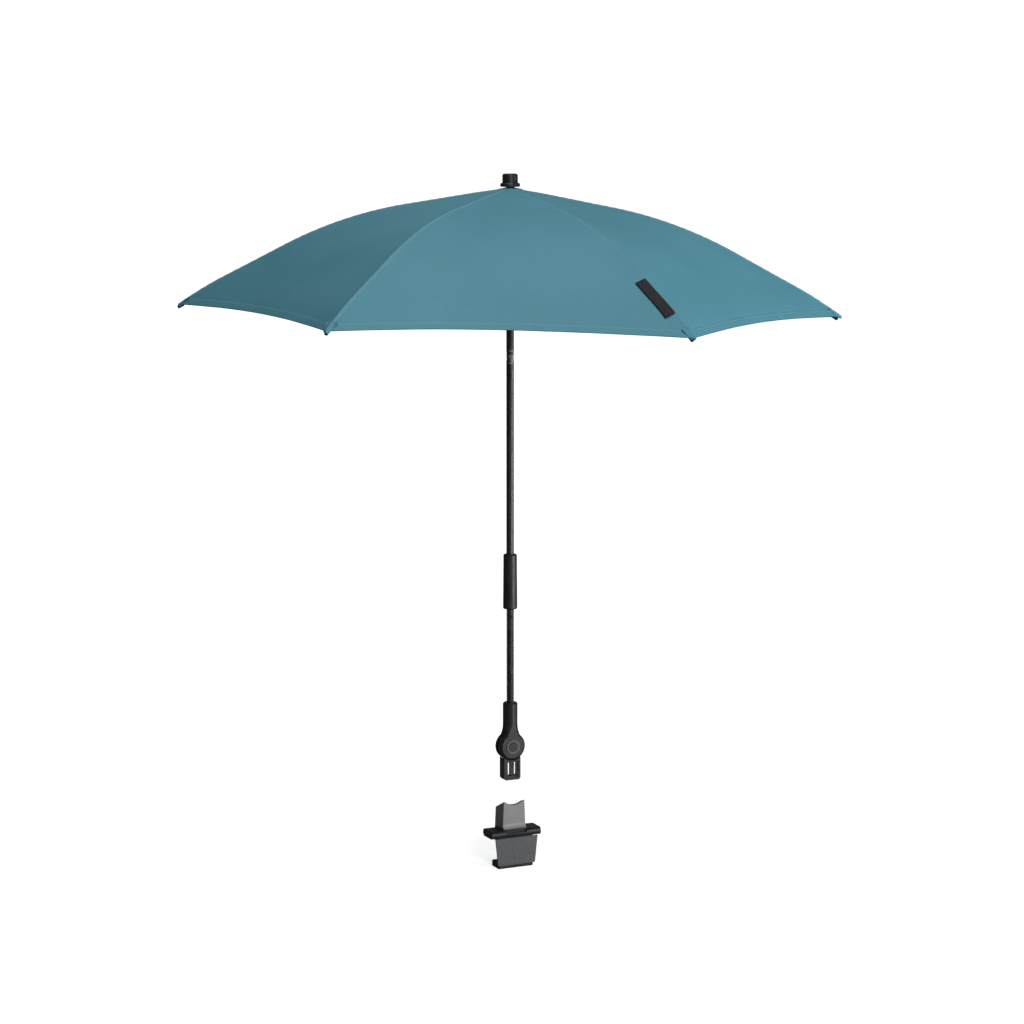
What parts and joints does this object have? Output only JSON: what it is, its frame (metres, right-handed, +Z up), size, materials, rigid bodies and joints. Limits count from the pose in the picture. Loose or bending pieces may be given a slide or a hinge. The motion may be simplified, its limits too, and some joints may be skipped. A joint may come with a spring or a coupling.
{
  "type": "clip-on parasol",
  "caption": "Small folding parasol on a pole with a tilt joint, flexible arm and push-button knuckle, plugging into a clip for a pushchair tube.",
  "frame": {"origin": "centre of the clamp bore of the adapter", "axes": "+X along the clamped tube, -Y to the front of the adapter, +Z up along the pole"},
  "size_m": [0.636, 0.6978, 0.7468],
  "materials": {
    "canopy_cloth": "woven polyester, soft sheen",
    "black_plastic": "fine moulded texture",
    "grey_plastic": "fine moulded texture",
    "plate_plastic": "spark-eroded texture",
    "rubber_pad": "matt rubber",
    "painted_tube": "satin black powder coat",
    "arm_metal": "black oxide",
    "dark_metal": "satin black",
    "rivet_metal": "plain rivet",
    "spring_steel": "drawn wire",
    "rib_steel": "black lacquer"
  },
  "bodies": {
    "adapter": {"adapter_body": "grey_plastic", "adapter_plate": "plate_plastic", "clamp_pad": "rubber_pad"},
    "plug": {"plug_body": "black_plastic"},
    "snap": {"snap_finger": "black_plastic"},
    "knuckle": {"knuckle_housing": "black_plastic", "pivot_barrel": "plate_plastic", "button_spring": "spring_steel"},
    "button": {"knuckle_button": "black_plastic"},
    "flex_1": {"arm_link_1": "arm_metal"},
    "flex_2": {"arm_link_2": "arm_metal"},
    "flex_3": {"arm_link_3": "arm_metal"},
    "flex_4": {"arm_link_4": "arm_metal"},
    "flex_5": {"arm_link_5": "arm_metal"},
    "collar": {"collar": "black_plastic"},
    "pole": {"pole_tube": "painted_tube", "tilt_yoke": "dark_metal", "tilt_pin": "rivet_metal"},
    "shaft": {"tilt_tongue": "dark_metal", "tilt_coil": "dark_metal", "upper_shaft": "painted_tube", "crown": "black_plastic", "ferrule": "black_plastic"},
    "runner": {"runner": "black_plastic"},
    "rib_1": {"rib_inner_1": "rib_steel", "canopy_inner_1": "canopy_cloth"},
    "tip_1": {"rib_outer_1": "rib_steel", "tip_cap_1": "black_plastic", "canopy_outer_1": "canopy_cloth"},
    "strut_1": {"stretcher_1": "rib_steel"},
    "rib_2": {"rib_inner_2": "rib_steel", "canopy_inner_2": "canopy_cloth"},
    "tip_2": {"rib_outer_2": "rib_steel", "tip_cap_2": "black_plastic", "canopy_outer_2": "canopy_cloth"},
    "strut_2": {"stretcher_2": "rib_steel"},
    "rib_3": {"rib_inner_3": "rib_steel", "canopy_inner_3": "canopy_cloth"},
    "tip_3": {"rib_outer_3": "rib_steel", "tip_cap_3": "black_plastic", "canopy_outer_3": "canopy_cloth"},
    "strut_3": {"stretcher_3": "rib_steel"},
    "rib_4": {"rib_inner_4": "rib_steel", "canopy_inner_4": "canopy_cloth"},
    "tip_4": {"rib_outer_4": "rib_steel", "tip_cap_4": "black_plastic", "canopy_outer_4": "canopy_cloth"},
    "strut_4": {"stretcher_4": "rib_steel"},
    "rib_5": {"rib_inner_5": "rib_steel", "canopy_inner_5": "canopy_cloth"},
    "tip_5": {"rib_outer_5": "rib_steel", "tip_cap_5": "black_plastic", "canopy_outer_5": "canopy_cloth"},
    "strut_5": {"stretcher_5": "rib_steel"},
    "rib_6": {"rib_inner_6": "rib_steel", "canopy_inner_6": "canopy_cloth"},
    "tip_6": {"rib_outer_6": "rib_steel", "tip_cap_6": "black_plastic", "canopy_outer_6": "canopy_cloth"},
    "strut_6": {"stretcher_6": "rib_steel"}
  },
  "joints": [
    {"name": "plug_slide", "type": "slide", "parent": "adapter", "child": "plug", "axis": [0, 0, 1], "range_m": [-0.0483, 0]},
    {"name": "snap_flex", "type": "hinge", "parent": "plug", "child": "snap", "pos_m": [0, -0.0034, 0.0825], "axis": [1, 0, 0], "range_deg": [-7, 0], "stiffness_Nm_per_rad": 0.05},
    {"name": "knuckle_turn", "type": "hinge", "parent": "plug", "child": "knuckle", "pos_m": [0, 0, 0.1136], "axis": [0, 1, 0], "range_deg": [-90, 90]},
    {"name": "button_press", "type": "slide", "parent": "knuckle", "child": "button", "axis": [0, 1, 0], "range_m": [0, 0.002], "stiffness_N_per_m": 400},
    {"name": "arm_side_1", "type": "hinge", "parent": "knuckle", "child": "flex_1", "pos_m": [0, 0, 0.16215], "axis": [0, 1, 0], "range_deg": [-16, 16]},
    {"name": "arm_fore_1", "type": "hinge", "parent": "flex_1", "child": "flex_2", "pos_m": [0, 0, 0.18243], "axis": [1, 0, 0], "range_deg": [-16, 16]},
    {"name": "arm_side_2", "type": "hinge", "parent": "flex_2", "child": "flex_3", "pos_m": [0, 0, 0.20271], "axis": [0, 1, 0], "range_deg": [-16, 16]},
    {"name": "arm_fore_2", "type": "hinge", "parent": "flex_3", "child": "flex_4", "pos_m": [0, 0, 0.22299], "axis": [1, 0, 0], "range_deg": [-16, 16]},
    {"name": "arm_side_3", "type": "hinge", "parent": "flex_4", "child": "flex_5", "pos_m": [0, 0, 0.24327], "axis": [0, 1, 0], "range_deg": [-16, 16]},
    {"name": "arm_fore_3", "type": "hinge", "parent": "flex_5", "child": "collar", "pos_m": [0, 0, 0.26355], "axis": [1, 0, 0], "range_deg": [-16, 16]},
    {"name": "pole_swivel", "type": "hinge", "parent": "collar", "child": "pole", "pos_m": [0, 0, 0.296], "axis": [0, 0, 1], "continuous": true},
    {"name": "canopy_tilt", "type": "hinge", "parent": "pole", "child": "shaft", "pos_m": [0, 0, 0.536], "axis": [0.4226, 0.9063, 0], "range_deg": [0, 45]},
    {"name": "runner_slide", "type": "slide", "parent": "shaft", "child": "runner", "axis": [0, 0, 1], "range_m": [-0.21301, 0]},
    {"name": "rib_fold_1", "type": "hinge", "parent": "shaft", "child": "rib_1", "pos_m": [0.00816, -0.0038, 0.707], "axis": [0.4226, 0.9063, 0], "range_deg": [0, 72.91], "deforming": ["canopy_inner_1"]},
    {"name": "rib_bend_1", "type": "hinge", "parent": "rib_1", "child": "tip_1", "pos_m": [0.149, -0.06948, 0.67369], "axis": [0.4226, 0.9063, 0], "range_deg": [-16.33, 0], "deforming": ["canopy_outer_1"]},
    {"name": "strut_fold_1", "type": "hinge", "parent": "rib_1", "child": "strut_1", "pos_m": [0.1442, -0.06724, 0.67171], "axis": [0.4226, 0.9063, 0], "range_deg": [-135.01, 0]},
    {"name": "rib_fold_2", "type": "hinge", "parent": "shaft", "child": "rib_2", "pos_m": [0.00737, 0.00516, 0.707], "axis": [-0.5736, 0.8192, 0], "range_deg": [0, 73.45], "deforming": ["canopy_inner_2"]},
    {"name": "rib_bend_2", "type": "hinge", "parent": "rib_2", "child": "tip_2", "pos_m": [0.13492, 0.09447, 0.67514], "axis": [-0.5736, 0.8192, 0], "range_deg": [-16.33, 0], "deforming": ["canopy_outer_2"]},
    {"name": "strut_fold_2", "type": "hinge", "parent": "rib_2", "child": "strut_2", "pos_m": [0.12972, 0.09083, 0.67336], "axis": [-0.5736, 0.8192, 0], "range_deg": [-134.94, 0]},
    {"name": "rib_fold_3", "type": "hinge", "parent": "shaft", "child": "rib_3", "pos_m": [-0.00078, 0.00897, 0.707], "axis": [-0.9962, -0.0872, 0], "range_deg": [0, 74.52], "deforming": ["canopy_inner_3"]},
    {"name": "rib_bend_3", "type": "hinge", "parent": "rib_3", "child": "tip_3", "pos_m": [-0.0144, 0.16465, 0.67806], "axis": [-0.9962, -0.0872, 0], "range_deg": [-16.33, 0], "deforming": ["canopy_outer_3"]},
    {"name": "strut_fold_3", "type": "hinge", "parent": "rib_3", "child": "strut_3", "pos_m": [-0.01367, 0.15621, 0.6766], "axis": [-0.9962, -0.0872, 0], "range_deg": [-134.81, 0]},
    {"name": "rib_fold_4", "type": "hinge", "parent": "shaft", "child": "rib_4", "pos_m": [-0.00816, 0.0038, 0.707], "axis": [-0.4226, -0.9063, 0], "range_deg": [0, 75.05], "deforming": ["canopy_inner_4"]},
    {"name": "rib_bend_4", "type": "hinge", "parent": "rib_4", "child": "tip_4", "pos_m": [-0.15003, 0.06996, 0.67952], "axis": [-0.4226, -0.9063, 0], "range_deg": [-16.33, 0], "deforming": ["canopy_outer_4"]},
    {"name": "strut_fold_4", "type": "hinge", "parent": "rib_4", "child": "strut_4", "pos_m": [-0.1414, 0.06594, 0.67819], "axis": [-0.4226, -0.9063, 0], "range_deg": [-134.76, 0]},
    {"name": "rib_fold_5", "type": "hinge", "parent": "shaft", "child": "rib_5", "pos_m": [-0.00737, -0.00516, 0.707], "axis": [0.5736, -0.8192, 0], "range_deg": [0, 74.52], "deforming": ["canopy_inner_5"]},
    {"name": "rib_bend_5", "type": "hinge", "parent": "rib_5", "child": "tip_5", "pos_m": [-0.13539, -0.0948, 0.67806], "axis": [0.5736, -0.8192, 0], "range_deg": [-16.33, 0], "deforming": ["canopy_outer_5"]},
    {"name": "strut_fold_5", "type": "hinge", "parent": "rib_5", "child": "strut_5", "pos_m": [-0.12845, -0.08994, 0.6766], "axis": [0.5736, -0.8192, 0], "range_deg": [-134.81, 0]},
    {"name": "rib_fold_6", "type": "hinge", "parent": "shaft", "child": "rib_6", "pos_m": [0.00078, -0.00897, 0.707], "axis": [0.9962, 0.0872, 0], "range_deg": [0, 73.45], "deforming": ["canopy_inner_6"]},
    {"name": "rib_bend_6", "type": "hinge", "parent": "rib_6", "child": "tip_6", "pos_m": [0.01435, -0.16408, 0.67514], "axis": [0.9962, 0.0872, 0], "range_deg": [-16.33, 0], "deforming": ["canopy_outer_6"]},
    {"name": "strut_fold_6", "type": "hinge", "parent": "rib_6", "child": "strut_6", "pos_m": [0.0138, -0.15776, 0.67336], "axis": [0.9962, 0.0872, 0], "range_deg": [-134.94, 0]}
  ],
  "couplings": [
    {"joint": "rib_fold_1", "follows": "runner_slide", "rad_per_m": -5.9734},
    {"joint": "rib_bend_1", "follows": "runner_slide", "rad_per_m": 1.337},
    {"joint": "strut_fold_1", "follows": "runner_slide", "rad_per_m": 11.061},
    {"joint": "rib_fold_2", "follows": "runner_slide", "rad_per_m": -6.0172},
    {"joint": "rib_bend_2", "follows": "runner_slide", "rad_per_m": 1.337},
    {"joint": "strut_fold_2", "follows": "runner_slide", "rad_per_m": 11.056},
    {"joint": "rib_fold_3", "follows": "runner_slide", "rad_per_m": -6.1049},
    {"joint": "rib_bend_3", "follows": "runner_slide", "rad_per_m": 1.337},
    {"joint": "strut_fold_3", "follows": "runner_slide", "rad_per_m": 11.045},
    {"joint": "rib_fold_4", "follows": "runner_slide", "rad_per_m": -6.1487},
    {"joint": "rib_bend_4", "follows": "runner_slide", "rad_per_m": 1.337},
    {"joint": "strut_fold_4", "follows": "runner_slide", "rad_per_m": 11.041},
    {"joint": "rib_fold_5", "follows": "runner_slide", "rad_per_m": -6.1049},
    {"joint": "rib_bend_5", "follows": "runner_slide", "rad_per_m": 1.337},
    {"joint": "strut_fold_5", "follows": "runner_slide", "rad_per_m": 11.045},
    {"joint": "rib_fold_6", "follows": "runner_slide", "rad_per_m": -6.0172},
    {"joint": "rib_bend_6", "follows": "runner_slide", "rad_per_m": 1.337},
    {"joint": "strut_fold_6", "follows": "runner_slide", "rad_per_m": 11.056}
  ]
}
